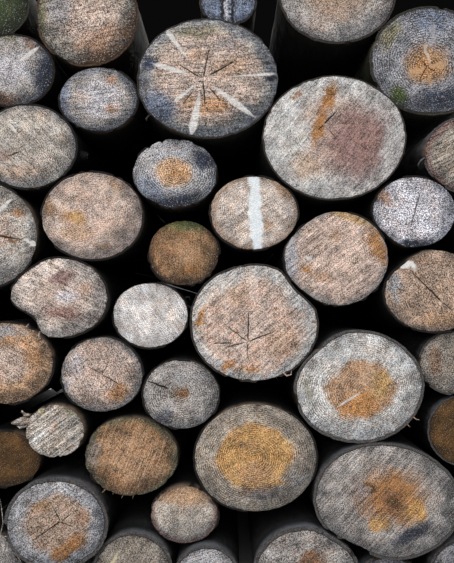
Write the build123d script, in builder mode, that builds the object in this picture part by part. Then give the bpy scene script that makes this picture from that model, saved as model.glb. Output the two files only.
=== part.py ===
"""A stack of round logs on level ground, millimetres, +Z up.

The logs lie along Y with their thick butt ends at the front (-Y) and their thinner top ends at the back.
Each log is its own solid. The floor course is laid side by side. Every other log has a hand-measured
sideways place and size, and its height comes from the logs that it lies on, at both of its ends.
"""

import math
import os
import random
from dataclasses import dataclass

import numpy as np
from build123d import *

os.makedirs("parts", exist_ok=True)

# The pile as a whole
log_length = 2400
pile_left = -1110          # left edge of the floor course at the front
ground = 0
bark_gap = 0.5             # air between two logs that lie on each other
taper = 0.93               # top end as a share of the butt end

# What makes one log differ from the next
taper_spread = 0.012       # each log's own taper, as a share, either way
ripple = 0.006             # how far the bark line strays from an oval, as a share of the log
cut_slope = 2.2            # greatest slope of a saw cut, degrees, either way
tail_spread = 38           # how far a top end stands in or out of the common back plane
creep = 4                  # how far a log may roll from its place to find its bed
overhang = 90              # spare length that the saw cuts take off each end

outline_sides = 28         # an outline is drawn with straight sides, each well under a millimetre off round
stub_sides = 12            # a branch stub is drawn with flat sides too
bed_steps = 32             # how often the search for a log's bed is narrowed


@dataclass
class Stub:
    """A broken branch: how far behind the butt face, which way it points (degrees from +X), its size."""
    along: float
    direction: float
    width: float
    length: float


@dataclass
class Log:
    """One log. Sizes are of the butt end with its bark; flats are (direction, depth, half spread)."""
    name: str
    width: float
    height: float
    middle: float = None     # sideways place of the butt end's middle
    gap: float = None        # floor course only: the gap to the log on the left
    out: float = 0           # how far the butt end stands out of the common front plane
    lean: float = 0          # degrees that the long way across is turned from level
    flats: tuple = ()
    stubs: tuple = ()


pile = [
    # Floor course, left to right, each log beside the one before
    Log("log_01", width=248, height=212, gap=0, out=-14),
    Log("log_02", width=280, height=240, gap=0, out=22),
    Log("log_03", width=182, height=162, gap=0, out=0),
    Log("log_04", width=162, height=154, gap=138, out=16),
    Log("log_05", width=134, height=126, gap=0, out=12),
    Log("log_06", width=210, height=170, gap=26, out=44, flats=((45, 8, 40),)),
    Log("log_07", width=134, height=102, gap=0, out=-8),
    Log("log_08", width=170, height=142, gap=17, out=4),
    Log("log_09", width=268, height=228, gap=0, out=-6),
    Log("log_10", width=232, height=200, gap=0, out=26),
    # Second course
    Log("log_11", middle=-335, width=206, height=182, out=40),
    Log("log_12", middle=-83, width=144, height=123, out=-28),
    Log("log_13", middle=312, width=296, height=230, out=34, lean=-8, flats=((232, 10, 42),)),
    Log("log_14", middle=-582, width=116, height=100, out=-16),
    Log("log_15", middle=-864, width=264, height=224, out=10),
    Log("log_16", middle=586, width=124, height=104, out=-22),
    Log("log_17", middle=842, width=244, height=208, out=14),
    Log("log_18", middle=-458, width=158, height=122, out=-58),
    Log("log_19", middle=-198, width=198, height=166, out=-30),
    Log("log_20", middle=53, width=252, height=221, out=6),
    Log("log_21", middle=-345, width=124, height=111, out=24),
    Log("log_22", middle=498, width=170, height=150, out=-48),
    Log("log_23", middle=686, width=208, height=176, out=8),
    Log("log_24", middle=-666, width=252, height=216, out=-20),
    # Middle of the pile
    Log("log_25", middle=-95, width=160, height=145, out=2),
    Log("log_26", middle=-446, width=198, height=170, out=8, stubs=(Stub(400, -58, 34, 12),)),
    Log("log_27", middle=-252, width=172, height=158, out=-18),
    Log("log_28", middle=264, width=259, height=225, out=30, flats=((140, 10, 38),),
        stubs=(Stub(1060, 81, 36, 16),)),
    Log("log_29", middle=470, width=158, height=134, out=-30),
    Log("log_30", middle=-810, width=200, height=172, out=24),
    Log("log_31", middle=-588, width=134, height=110, out=-10),
    Log("log_32", middle=626, width=168, height=144, out=-16),
    Log("log_33", middle=790, width=184, height=156, out=20),
    Log("log_34", middle=-159, width=160, height=138, out=-24, stubs=(Stub(660, -45, 28, 12),)),
    Log("log_35", middle=-337, width=201, height=165, out=26, flats=((138, 8, 40), (215, 28, 40))),
    Log("log_36", middle=51, width=258, height=236, out=30, flats=((38, 18, 32),)),
    Log("log_37", middle=414, width=202, height=170, out=14, flats=((140, 10, 40),)),
    Log("log_38", middle=722, width=176, height=152, out=-12),
    Log("log_39", middle=-710, width=176, height=152, out=6),
    Log("log_40", middle=213, width=214, height=194, out=18, flats=((225, 6, 40), (135, 6, 40))),
    Log("log_41", middle=-93, width=153, height=141, out=-60),
    Log("log_42", middle=-496, width=242, height=222, out=22),
    Log("log_43", middle=-272, width=209, height=181, out=10),
    Log("log_44", middle=55, width=183, height=153, out=6),
    Log("log_45", middle=369, width=172, height=148, out=8, flats=((220, 6, 40),)),
    # Upper courses
    Log("log_46", middle=564, width=150, height=130, out=-18, stubs=(Stub(700, 62, 30, 12),)),
    Log("log_47", middle=-644, width=168, height=148, out=16),
    Log("log_48", middle=-108, width=178, height=145, out=-6),
    Log("log_49", middle=482, width=182, height=158, out=-14),
    Log("log_50", middle=-398, width=198, height=172, out=20, stubs=(Stub(46, -6, 16, 12),)),
    Log("log_51", middle=208, width=286, height=248, out=28),
    Log("log_52", middle=-564, width=152, height=132, out=-8, stubs=(Stub(1150, 118, 24, 14),)),
    Log("log_53", middle=-262, width=165, height=136, out=-10),
    Log("log_54", middle=-38, width=284, height=240, out=26),
    Log("log_55", middle=-428, width=170, height=150, out=-18),
    Log("log_56", middle=406, width=250, height=222, out=-12, stubs=(Stub(1480, 40, 36, 16),)),
    Log("log_57", middle=-278, width=210, height=206, out=-16, stubs=(Stub(860, 96, 34, 14),)),
    Log("log_58", middle=226, width=238, height=202, out=-10, stubs=(Stub(520, 84, 32, 18),)),
    Log("log_59", middle=-2, width=118, height=98, out=-34),
    Log("log_60", middle=-478, width=162, height=156, out=-44, stubs=(Stub(1700, 70, 22, 12),)),
]


def outline(log, end, spare=0):
    """Section of a log at its butt (end 0) or top end (end 1), about its middle, anticlockwise from +X."""
    own = random.Random(log.name)
    size = taper * (1 + own.uniform(-taper_spread, taper_spread)) if end else 1
    own = random.Random(log.name + "waves")
    waves = [(number, own.uniform(0, 360), own.uniform(0.4, 1) * ripple * 3 / number) for number in (3, 4, 5)]
    angle = np.arange(outline_sides) * 360 / outline_sides
    across = np.radians(angle - log.lean)
    reach = 1 / np.hypot(np.cos(across) / (log.width / 2), np.sin(across) / (log.height / 2))
    for number, phase, amount in waves:
        reach = reach * (1 + amount * np.cos(np.radians(number * (angle - phase))))
    for direction, depth, spread in log.flats:
        away = np.abs((angle - direction + 180) % 360 - 180)
        reach = reach - np.where(away < spread, depth * (1 + np.cos(math.pi * away / spread)) / 2, 0)
    reach = reach * size + spare
    return np.column_stack([reach * np.cos(np.radians(angle)), reach * np.sin(np.radians(angle))])


def edge(points, upper):
    """Upper or lower line of an outline, as heights against sideways places from left to right."""
    left = int(np.argmin(points[:, 0]))
    right = int(np.argmax(points[:, 0]))
    first, last = (right, left) if upper else (left, right)
    steps = (last - first) % len(points)
    line = np.array([points[(first + step) % len(points)] for step in range(steps + 1)])
    line = line[::-1] if upper else line
    return np.maximum.accumulate(line[:, 0]), line[:, 1]


def turned(points):
    """An outline turned a quarter, so that its right side is its lower line and its left its upper one."""
    return np.column_stack([points[:, 1], -points[:, 0]])


def side_place(section, height, neighbour):
    """Sideways place of a floor log whose outline just meets the outline of the log on its left."""
    right_height, right = edge(turned(neighbour), upper=False)
    left_height, left = edge(turned(section + np.array([0, height])), upper=True)
    low, high = max(right_height[0], left_height[0]), min(right_height[-1], left_height[-1])
    spots = np.concatenate([right_height, left_height, [low, high]])
    spots = spots[(spots >= low) & (spots <= high)]
    return (np.interp(spots, left_height, left) - np.interp(spots, right_height, right)).max()


def bed_height(underside, middle, laid):
    """Lowest height at which a log's middle can lie at this sideways place, on the logs laid so far."""
    across, below = underside[0] + middle, underside[1]
    height = ground - below.min()
    for (place, rest), (top_across, top_height) in laid:
        over, top = top_across + place, top_height + rest
        low, high = max(over[0], across[0]), min(over[-1], across[-1])
        if high > low:
            spots = np.concatenate([over, across, [low, high]])
            spots = spots[(spots >= low) & (spots <= high)]
            height = max(height, (np.interp(spots, over, top) - np.interp(spots, across, below)).max())
    return height


def bed(underside, middle, laid):
    """Where a log comes to lie: the lowest place that it can roll to from its measured one."""
    places = list(np.linspace(middle - creep, middle + creep, 9))
    lowest = min(places, key=lambda place: bed_height(underside, place, laid))
    low, high = max(lowest - creep / 4, places[0]), min(lowest + creep / 4, places[-1])
    for _ in range(bed_steps):
        third = (high - low) / 3
        if bed_height(underside, low + third, laid) < bed_height(underside, high - third, laid):
            high -= third
        else:
            low += third
    place = (low + high) / 2
    return place, bed_height(underside, place, laid)


def lay(end):
    """Middles of all logs, by name, in the plane of the butt ends (end 0) or of the top ends (end 1)."""
    spread = taper if end else 1
    laid = []
    middles = {}
    neighbour = None
    for log in pile:
        section = outline(log, end)
        if log.gap is None:
            middle = bed(edge(section, upper=False), log.middle * spread, laid)
        else:
            height = ground - section[:, 1].min()
            place = pile_left * spread - section[:, 0].min()
            if neighbour is not None:
                place = side_place(section, height, neighbour) + log.gap * spread
            middle = (place, height)
            neighbour = outline(log, end, bark_gap) + np.array(middle)
        middles[log.name] = middle
        laid.append((middle, edge(outline(log, end, bark_gap), upper=True)))
    return middles


butt_middles = lay(0)
top_middles = lay(1)


def section_points(log, along):
    """Outline of a laid log, this far behind the common front plane, as (across, up) pairs."""
    share = along / log_length
    butt = outline(log, 0) + np.array(butt_middles[log.name])
    top = outline(log, 1) + np.array(top_middles[log.name])
    return [tuple(point) for point in butt * (1 - share) + top * share]


def middle_at(log, along):
    """Middle of a laid log, this far behind the common front plane."""
    share = along / log_length
    place = np.array(butt_middles[log.name]) * (1 - share) + np.array(top_middles[log.name]) * share
    return Vector(place[0], along, place[1])


def saw_cut(log, along, own):
    """Plane of a saw cut through the log, a little off square."""
    swing = math.radians(own.uniform(-cut_slope, cut_slope))
    nod = math.radians(own.uniform(-cut_slope, cut_slope))
    return Plane(origin=middle_at(log, along), z_dir=(math.sin(swing), 1, math.sin(nod)))


timbers = {}
for log in pile:
    own = random.Random(log.name + "cuts")
    with BuildPart() as timber:
        for along in (-overhang, log_length + overhang):
            with BuildSketch(Plane.XZ.offset(-along)):
                with BuildLine():
                    Polyline(*section_points(log, along), close=True)
                make_face()
        loft(ruled=True)
        split(bisect_by=saw_cut(log, -log.out, own), keep=Keep.TOP)
        tail = own.uniform(-tail_spread, tail_spread)
        split(bisect_by=saw_cut(log, log_length + tail, own), keep=Keep.BOTTOM)
        for stub in log.stubs:
            way = Vector(math.cos(math.radians(stub.direction)), 0, math.sin(math.radians(stub.direction)))
            across = np.radians(stub.direction - log.lean)
            skin = 1 / math.hypot(math.cos(across) / (log.width / 2), math.sin(across) / (log.height / 2))
            start = middle_at(log, stub.along) + way * (skin / 2)
            with BuildSketch(Plane(origin=start, x_dir=(0, 1, 0), z_dir=way)):
                RegularPolygon(stub.width / 2, side_count=stub_sides)
            extrude(amount=skin / 2 + stub.length, taper=4)
    timbers[log.name] = timber

# The origin is on the ground, below the middle of the whole pile
boxes = [timber.part.bounding_box() for timber in timbers.values()]
low = Vector(min(b.min.X for b in boxes), min(b.min.Y for b in boxes), min(b.min.Z for b in boxes))
high = Vector(max(b.max.X for b in boxes), max(b.max.Y for b in boxes), max(b.max.Z for b in boxes))
origin = Vector((low.X + high.X) / 2, (low.Y + high.Y) / 2, low.Z)

for name, timber in timbers.items():
    timber.part.position = timber.part.position - origin
    timber.part.label = name
    export_step(timber.part, f"parts/{name}.step")

print("pile", [round(size, 1) for size in high - low], "moved by", [round(place, 1) for place in origin])
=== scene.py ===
"""Looks of the stack of logs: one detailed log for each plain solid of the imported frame.

Metres throughout, +Z up, butt ends towards -Y. Sizes that belong to a log's sawn end are in millimetres,
sideways and up from the middle of that end.
"""

import math
import random
from dataclasses import dataclass

import bpy
import numpy as np
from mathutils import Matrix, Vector, noise
from mathutils.bvhtree import BVHTree


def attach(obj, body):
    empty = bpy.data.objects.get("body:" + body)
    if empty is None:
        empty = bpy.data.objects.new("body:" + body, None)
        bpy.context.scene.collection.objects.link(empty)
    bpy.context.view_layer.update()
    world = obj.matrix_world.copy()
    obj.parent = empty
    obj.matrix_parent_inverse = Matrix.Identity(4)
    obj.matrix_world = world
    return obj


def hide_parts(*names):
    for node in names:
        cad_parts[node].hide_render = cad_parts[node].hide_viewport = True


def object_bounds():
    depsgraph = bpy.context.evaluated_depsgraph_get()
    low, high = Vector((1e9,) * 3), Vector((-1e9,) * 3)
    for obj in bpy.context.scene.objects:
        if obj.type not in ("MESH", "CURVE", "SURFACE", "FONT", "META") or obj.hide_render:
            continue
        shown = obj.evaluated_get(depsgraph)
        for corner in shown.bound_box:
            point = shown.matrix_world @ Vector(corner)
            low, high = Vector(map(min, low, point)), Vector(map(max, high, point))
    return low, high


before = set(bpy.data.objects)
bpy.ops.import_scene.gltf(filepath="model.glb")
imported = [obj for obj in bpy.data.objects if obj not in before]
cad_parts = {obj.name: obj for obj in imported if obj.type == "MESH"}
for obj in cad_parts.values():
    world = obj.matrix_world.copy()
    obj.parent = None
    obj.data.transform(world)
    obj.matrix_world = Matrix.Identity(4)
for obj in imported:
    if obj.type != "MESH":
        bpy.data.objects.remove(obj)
cad_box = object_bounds()


# Floor course
# Ten thick and thin logs lie side by side on the ground and carry the pile. Each has a saw-cut butt end
# with its bark left on. Here stand the tools that every log needs: its shape, its sawn wood and its bark.

MM = 0.001
front_plane = -1.1976        # where the butt ends lie, more or less


@dataclass
class Ray:
    """A line that runs out from the pith: a dark crack, or a pale splinter or wedge that the felling tore."""
    kind: str                # crack, splinter or wedge
    direction: float         # degrees anticlockwise from +X
    start: float
    stop: float
    width: float = 1.6

    def width_at(self, along):
        """Its width at a share of the way from its start to its stop."""
        if self.kind == "crack":
            return self.width * max(1 - along, 0.15) ** 0.5
        if self.kind == "wedge":
            return self.width * min(max(along, 0.1), 1)
        return self.width * max(math.sin(math.pi * min(max(along, 0.05), 0.97)), 0.1) ** 0.7


@dataclass
class Blot:
    """A stain or a patch of other wood on the sawn end: its place, half sizes and turn in degrees."""
    colour: tuple
    x: float
    z: float
    wide: float
    high: float
    turn: float = 0
    strength: float = 0.8
    fresh: bool = False      # it lies over the specks and saw marks


@dataclass
class Fibre:
    """A shred of wood or bark that stands off the edge: the points that it follows, its width, its finish."""
    points: tuple            # sideways, up and back from the middle of the end
    width: float
    bark: bool = False


@dataclass
class Butt:
    """What one log's sawn end looks like."""
    sap: tuple                       # outer wood
    heart: tuple = None              # inner wood
    heart_reach: float = 0.55        # how far the heart reaches, as a share of the way to the bark
    heart_soft: float = 0.12
    pith: tuple = (0, 0)
    ring: float = 4.0                # width of a year ring
    ring_show: float = 0.2
    saw: tuple = (40, 0.25)          # direction of the saw marks in degrees, and how strong they are
    rim: tuple = None                # weathered wood just inside the bark
    rim_reach: float = 0.9
    speckle: float = 1.0
    mottle: float = 0.3              # how far the tone drifts to warm and to cool
    grime_and_shade: float = 0.85              # how dark the wood near the bark is, from damp and grime and from painted shade
    bark: str = "damp_and_shade"
    bark_thick: float = 4.0
    shed: float = 0.3                # share of the end's edge where the bark has come off
    ragged: float = 0.0              # how far fibres and chips leave the edge uneven
    outer: bool = False              # its bark can be seen all along, and so is left without the painted gap shade
    blots: tuple = ()
    cracks: tuple = ()               # direction, start, stop and width of each, as a Ray has them
    splinters: tuple = ()
    wedges: tuple = ()
    fibres: tuple = ()
    stubs: tuple = ()                # broken branches: place behind the front plane, direction, width, length
    span: float = 0.0                # from the pith to the outside of the bark, read off the plain log


# Woods, more or less from the palest to the darkest, then the warm hearts and the stains
chalk = (0.66, 0.62, 0.60)
lilac = (0.56, 0.54, 0.58)
cream = (0.58, 0.49, 0.43)
bone = (0.52, 0.50, 0.48)
rose = (0.56, 0.42, 0.35)
tan = (0.48, 0.37, 0.31)
pewter = (0.46, 0.44, 0.46)
sand = (0.45, 0.40, 0.35)
ash = (0.38, 0.37, 0.38)
bran = (0.37, 0.31, 0.25)
dust = (0.33, 0.30, 0.28)
drab = (0.28, 0.24, 0.20)
slate = (0.22, 0.22, 0.24)
steel = (0.16, 0.19, 0.26)
apricot = (0.52, 0.32, 0.18)
honey = (0.50, 0.28, 0.10)
russet = (0.43, 0.26, 0.15)
umber = (0.38, 0.27, 0.20)
hazel = (0.31, 0.18, 0.09)
bitter = (0.10, 0.05, 0.015)
murk = (0.035, 0.05, 0.02)
rust = (0.36, 0.17, 0.06)
orange = (0.48, 0.23, 0.08)
gold = (0.46, 0.29, 0.11)
clay = (0.34, 0.20, 0.13)
brown = (0.20, 0.10, 0.05)
mauve = (0.27, 0.16, 0.14)
blue_black = (0.035, 0.045, 0.075)
straw = (0.60, 0.52, 0.34)
pale = (0.72, 0.69, 0.66)
ice = (0.80, 0.86, 0.90)
grey = (0.33, 0.33, 0.34)
soot = (0.02, 0.02, 0.025)
olive = (0.18, 0.16, 0.09)
moss = (0.08, 0.11, 0.03)


class Wire:
    """An output of a shader node. Sums of wires add Math nodes, or Vector Math nodes for vectors."""

    def __init__(self, graph, socket):
        self.graph = graph
        self.socket = socket

    def maths(self, operation, first, second):
        kinds = [part.socket.type if isinstance(part, Wire) else type(part) for part in (first, second)]
        vectors = "VECTOR" in kinds or "RGBA" in kinds or tuple in kinds
        kind = "ShaderNodeVectorMath" if vectors else "ShaderNodeMath"
        return self.graph.node(kind, {"operation": operation}, {0: first, 1: second})

    def __add__(self, other):
        return self.maths("ADD", self, other)

    def __radd__(self, other):
        return self.maths("ADD", other, self)

    def __sub__(self, other):
        return self.maths("SUBTRACT", self, other)

    def __rsub__(self, other):
        return self.maths("SUBTRACT", other, self)

    def __mul__(self, other):
        return self.maths("MULTIPLY", self, other)

    def __rmul__(self, other):
        return self.maths("MULTIPLY", other, self)


class Graph:
    """A node tree, of a material or of the world, to which nodes are added."""

    def __init__(self, tree):
        self.tree = tree

    def node(self, kind, settings, sockets, output=0):
        """Adds a node: its settings first, then the values or links of its sockets. Returns one output."""
        made = self.tree.nodes.new(kind)
        for setting, value in settings.items():
            setattr(made, setting, value)
        for socket, value in sockets.items():
            if isinstance(value, Wire):
                self.tree.links.new(value.socket, made.inputs[socket])
            elif made.inputs[socket].type == "VECTOR" and isinstance(value, (int, float)):
                made.inputs[socket].default_value = (value, value, value)
            else:
                made.inputs[socket].default_value = value
        return Wire(self, made.outputs[output])


class Finish(Graph):
    """A material with its shader."""

    def __init__(self, name, roughness):
        self.material = bpy.data.materials.new(name)
        self.material.use_nodes = True
        super().__init__(self.material.node_tree)
        self.shader = self.tree.nodes["Principled BSDF"]
        self.shader.inputs["Roughness"].default_value = roughness
        self.shader.inputs["Specular IOR Level"].default_value = 0.25

    def read(self, attribute):
        return self.node("ShaderNodeAttribute", {"attribute_name": attribute}, {}, "Vector")

    def parts(self, vector):
        split = self.node("ShaderNodeSeparateXYZ", {}, {0: vector}, "X").socket.node
        return [Wire(self, split.outputs[name]) for name in ("X", "Y", "Z")]

    def noise(self, vector, scale, detail, roughness, output="Fac"):
        return self.node("ShaderNodeTexNoise", {}, {"Vector": vector, "Scale": scale, "Detail": detail,
                                                    "Roughness": roughness}, output)

    def step(self, value, low, high, to_low=0.0, to_high=1.0):
        """Goes smoothly from to_low to to_high while the value goes from low to high."""
        return self.node("ShaderNodeMapRange", {"interpolation_type": "SMOOTHSTEP"},
                         {"Value": value, "From Min": low, "From Max": high,
                          "To Min": to_low, "To Max": to_high})

    def blend(self, share, under, over):
        """Lays one colour over another."""
        made = self.tree.nodes.new("ShaderNodeMix")
        made.data_type, made.clamp_factor = "RGBA", True
        for socket, value in ((made.inputs[0], share), (made.inputs[6], under), (made.inputs[7], over)):
            if isinstance(value, Wire):
                self.tree.links.new(value.socket, socket)
            else:
                socket.default_value = (*value, 1) if isinstance(value, tuple) else value
        return Wire(self, made.outputs[2])

    def dim(self, colour, amount):
        """A colour times a number that changes over the surface."""
        return self.node("ShaderNodeVectorMath", {"operation": "SCALE"}, {0: colour, "Scale": amount})

    def paint(self, colour, height, distance, strength):
        self.tree.links.new(colour.socket, self.shader.inputs["Base Color"])
        bump = self.node("ShaderNodeBump", {}, {"Height": height, "Distance": distance, "Strength": strength})
        self.tree.links.new(bump.socket, self.shader.inputs["Normal"])


def shade(colour, share):
    """A colour that is lighter or darker by this share."""
    return tuple(min(part * share, 0.95) for part in colour)


def sawn_wood(name, butt):
    """End grain of one log, from the points' places on the end ("grain") and what lies there ("marks")."""
    finish = Finish(name + "_end_grain", 0.8)
    place = finish.read("grain")
    reach, crack, splinter = finish.parts(finish.read("marks"))
    own = random.Random(name + "wood")
    spot = place + tuple(own.uniform(0, 900) for _ in range(3))
    wander = finish.noise(spot, 0.045, 3, 0.6, "Color")
    stray = 34.0             # millimetres over which the outlines of the stains wander
    moved = place + finish.node("ShaderNodeVectorMath", {"operation": "MULTIPLY_ADD"},
                                {0: wander, 1: stray, 2: -stray / 2})
    cloud = finish.noise(spot, 0.026, 4, 0.6)
    warm, cool, dull = finish.parts(finish.noise(spot, 0.038, 5, 0.66, "Color"))
    fine = finish.noise(spot, 0.5, 3, 0.8)
    fleck = finish.noise(spot, 0.46, 1, 0.5)
    outward = finish.node("ShaderNodeVectorMath", {"operation": "NORMALIZE"}, {0: place - (*butt.pith, 0)})

    # Sapwood, heart and weathered rim, then what has stained them
    wavy = reach + (cloud - 0.5) * 0.42 + (dull - 0.5) * 0.22 + (fine - 0.5) * 0.16
    colour = finish.blend(finish.step(cloud, 0.36, 0.64), shade(butt.sap, 1.22), shade(butt.sap, 0.78))
    if butt.heart:
        low, high = butt.heart_reach - butt.heart_soft, butt.heart_reach + butt.heart_soft
        colour = finish.blend(finish.step(wavy, low, high, 0.95, 0.0), colour, butt.heart)
    if butt.rim:
        low, high = butt.rim_reach - 0.07, butt.rim_reach + 0.07
        colour = finish.blend(finish.step(wavy, low, high, 0.0, 0.9), colour, butt.rim)
    over = []
    for blot in butt.blots:
        there = finish.node("ShaderNodeMapping", {"vector_type": "TEXTURE"},
                            {"Vector": moved, "Location": (blot.x, blot.z, 0),
                             "Rotation": (0, 0, math.radians(blot.turn)),
                             "Scale": (blot.wide, blot.high, 1e5)})
        away = finish.node("ShaderNodeVectorMath", {"operation": "LENGTH"}, {0: there}, "Value")
        away = away + (fine - 0.5) * 0.7 + (warm - 0.5) * 0.9
        if blot.fresh:
            over.append((finish.step(away, 0.55, 1.15, blot.strength, 0.0), blot.colour))
        else:
            soaked = min(blot.strength * 1.15, 1)
            colour = finish.blend(finish.step(away, 0.4, 1.2, soaked, 0.0), colour, blot.colour)
    for patch, tint in ((warm, (1.22, 0.90, 0.66)), (cool, (0.84, 0.97, 1.14))):
        colour = finish.blend(finish.step(patch, 0.46, 0.66, 0.0, butt.mottle), colour, colour * tint)

    # Damp and grime creep in from the bark, and painted shade with them: the wood darkens towards the bark,
    # most on the lower right side, which faces away from the light
    damp_shaded_side = math.radians(-60)
    side = finish.node("ShaderNodeVectorMath", {"operation": "DOT_PRODUCT"},
                       {0: outward, 1: (math.cos(damp_shaded_side), math.sin(damp_shaded_side), 0)}, "Value")
    damp_and_shade = reach + side * 0.16 + (cloud - 0.5) * 0.6 + (warm - 0.5) * 0.3
    grime_and_shade = finish.step(damp_and_shade, 0.66, 1.06) * butt.grime_and_shade
    colour = finish.blend(grime_and_shade, colour, colour * (0.28, 0.31, 0.35))

    # Saw marks, year rings, and fine cracks that run out from the pith
    direction, strength = butt.saw
    turned = finish.node("ShaderNodeVectorRotate", {"rotation_type": "Z_AXIS"},
                         {"Vector": spot, "Angle": math.radians(-direction)})
    teeth = finish.noise(turned * (0.009, 0.19, 0), 1.0, 4, 0.8)
    hairs = finish.noise(turned * (0.030, 0.42, 0), 1.0, 2, 0.7)
    swings = 2 * math.pi * butt.span / butt.ring
    swing = finish.node("ShaderNodeMath", {"operation": "SINE"},
                        {0: reach * swings + fine * 2.0 + cloud * 6 + warm * 4})
    rings = finish.step(swing, -0.5, 0.9) * finish.step(cool, 0.62, 0.38, 0.3, 1.0)
    checks = finish.noise(outward * 11.0 + (own.uniform(0, 90), 0, 0), 1.0, 3, 0.7)
    checks = finish.step(checks, 0.60, 0.66) * finish.step(warm, 0.42, 0.58) * finish.step(reach, 0.04, 0.2)
    grit = finish.step(fine, 0.41, 0.59, -0.5, 0.5)
    lines = finish.step(teeth, 0.38, 0.62, -0.5, 0.5)
    hairs = finish.step(hairs, 0.36, 0.64, -0.5, 0.5)
    tone = 0.95 + grit * (1.45 * butt.speckle)
    tone = tone + lines * (0.12 + strength * 1.1) + hairs * (0.25 + strength * 0.5)
    tone = tone - (rings - 0.3) * (0.12 + butt.ring_show * 1.3)
    tone = tone + finish.step(dull, 0.36, 0.64, -0.24, 0.24) - checks * 0.35
    colour = finish.dim(colour, finish.node("ShaderNodeMath", {"operation": "MAXIMUM"}, {0: tone, 1: 0.1}))
    dark_fleck = (0.03, 0.024, 0.022)
    colour = finish.blend(finish.step(fleck, 0.42, 0.33, 0.0, 0.9 * butt.speckle), colour, dark_fleck)
    colour = finish.blend(finish.step(fleck, 0.62, 0.74, 0.0, 0.5 * butt.speckle), colour, pale)

    for share, fresh in over:
        colour = finish.blend(share, colour, finish.dim(fresh, 1.0 + grit * 0.25))

    # Torn splinters, open cracks painted nearly black as painted shade, the dark line under the bark and the
    # bark's own section
    torn = splinter * finish.step(teeth + grit * 0.3, 0.30, 0.66, 0.6, 1.0)
    fibrous = finish.blend(fine, (0.78, 0.76, 0.74), (0.62, 0.58, 0.54))
    colour = finish.blend(torn, colour, finish.dim(fibrous, 1.0 + grit * 0.25 + hairs * 0.3))
    colour = finish.blend(crack, colour, (0.012, 0.009, 0.008))
    colour = finish.blend(finish.step(reach, 1.004, 1.012), colour, (0.022, 0.017, 0.014))
    section = finish.blend(finish.step(fine, 0.4, 0.6), barks[butt.bark][0], shade(barks[butt.bark][1], 1.3))
    colour = finish.blend(finish.step(reach, 1.03, 1.06), colour, section)
    relief = grit * 0.7 + lines * (strength * 0.9) - rings * butt.ring_show
    finish.paint(colour, relief, 1.0 * MM, 0.5)
    return finish.material


# crevice, plate, bloom of dust and lichen with painted sky light on the upper side, moss, and how much of the
# last two
barks = {
    # Painted shade: the nearly black first kind is the default bark, and stands for the shadow on bark deep
    # in the gaps of the pile
    "damp_and_shade": ((0.004, 0.003, 0.003), (0.015, 0.012, 0.011), (0.04, 0.045, 0.05), moss, 0.3, 0.05),
    "dark": ((0.010, 0.008, 0.007), (0.045, 0.036, 0.031), (0.12, 0.13, 0.14), moss, 0.35, 0.1),
    "brown": ((0.014, 0.009, 0.006), (0.075, 0.043, 0.026), (0.15, 0.13, 0.11), moss, 0.3, 0.1),
    "grey": ((0.020, 0.018, 0.018), (0.100, 0.092, 0.090), (0.30, 0.32, 0.36), moss, 0.6, 0.05),
    "mossy": ((0.010, 0.009, 0.007), (0.045, 0.040, 0.032), (0.12, 0.13, 0.11), (0.065, 0.080, 0.030),
              0.3, 0.8),
}


def bark_finish(kind):
    """Scaly bark with darker furrows, a pale bloom of dust and lichen with painted sky light where it faces
    up, moss in patches, and painted shade where it faces down and deep in the pile.
    """
    crevice, plate, bloom_and_sky_light, green, bloom_and_sky_light_share, green_share = barks[kind]
    finish = Finish("bark_" + kind, 0.9)
    place = finish.node("ShaderNodeTexCoord", {}, {}, "Object")
    long = finish.node("ShaderNodeVectorMath", {"operation": "MULTIPLY"}, {0: place, 1: (1.0, 0.22, 1.0)})
    cloud = finish.noise(place, 9.0, 4, 0.6)
    furrow = finish.noise(long, 85.0, 5, 0.65)
    crooked = finish.node("ShaderNodeVectorMath", {"operation": "SCALE"},
                          {0: finish.noise(long, 60.0, 2, 0.5, "Color"), "Scale": 0.02})
    scale = finish.node("ShaderNodeTexVoronoi", {"feature": "F1"}, {"Vector": long + crooked, "Scale": 62.0})
    bare, gap_shade, _ = finish.parts(finish.read("marks"))
    facing = finish.parts(finish.node("ShaderNodeNewGeometry", {}, {}, "Normal"))[2]
    raised = finish.step(furrow, 0.38, 0.6) * finish.step(scale, 0.75, 0.35)
    colour = finish.blend(raised, crevice, plate)
    colour = finish.blend(finish.step(cloud, 0.4, 0.7, 0.0, 0.6), colour, shade(plate, 1.9))
    # Painted sky light: bark that faces up is paler and bluer, partly from dust and lichen
    dust_and_sky_light = finish.step(facing + (furrow - 0.5) * 1.2, 0.1, 0.9) * finish.step(cloud, 0.3, 0.6, 0.4, 1.0)
    colour = finish.blend(dust_and_sky_light * bloom_and_sky_light_share, colour, bloom_and_sky_light)
    overgrown = finish.step(cloud, 0.54, 0.42) * finish.step(furrow, 0.60, 0.45) * green_share
    colour = finish.blend(overgrown, colour, green)
    colour = finish.blend(bare, colour, finish.blend(furrow, (0.20, 0.12, 0.07), (0.42, 0.33, 0.25)))
    # Painted shade: bark that faces down is darker, and the bark of logs inside the pile darkens to an eighth
    # from a few centimetres behind the butt end, where the gaps lie in shadow
    shade_below = finish.step(facing, -0.5, 0.4, 0.3, 1.0)
    colour = finish.dim(colour, shade_below * finish.step(gap_shade, 0.0, 1.0, 1.0, 0.12))
    finish.paint(colour, raised + furrow * 0.6, 2.2 * MM, 0.8)
    return finish.material


bark_finishes = {kind: bark_finish(kind) for kind in barks}


def wobble(points, scale):
    """Smooth noise from -1 to 1 at each point."""
    return np.array([noise.noise(Vector(p)) for p in np.asarray(points, float) * scale])


def smooth(value, low, high):
    """Goes smoothly from 0 to 1 while the value goes from low to high."""
    share = np.clip((value - low) / (high - low), 0, 1)
    return share * share * (3 - 2 * share)


# How the plain logs are read
end_depth = 0.02             # this much of each end tells where its middle is
station_inset = 0.12         # the outline is read this far inside both ends
probe = 0.03                 # the saw cuts are felt this far from the middle
stand_off = 0.1              # and from this far outside them
full_turn = 2 * math.pi
outline_angles = np.linspace(0, full_turn, 181)

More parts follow.
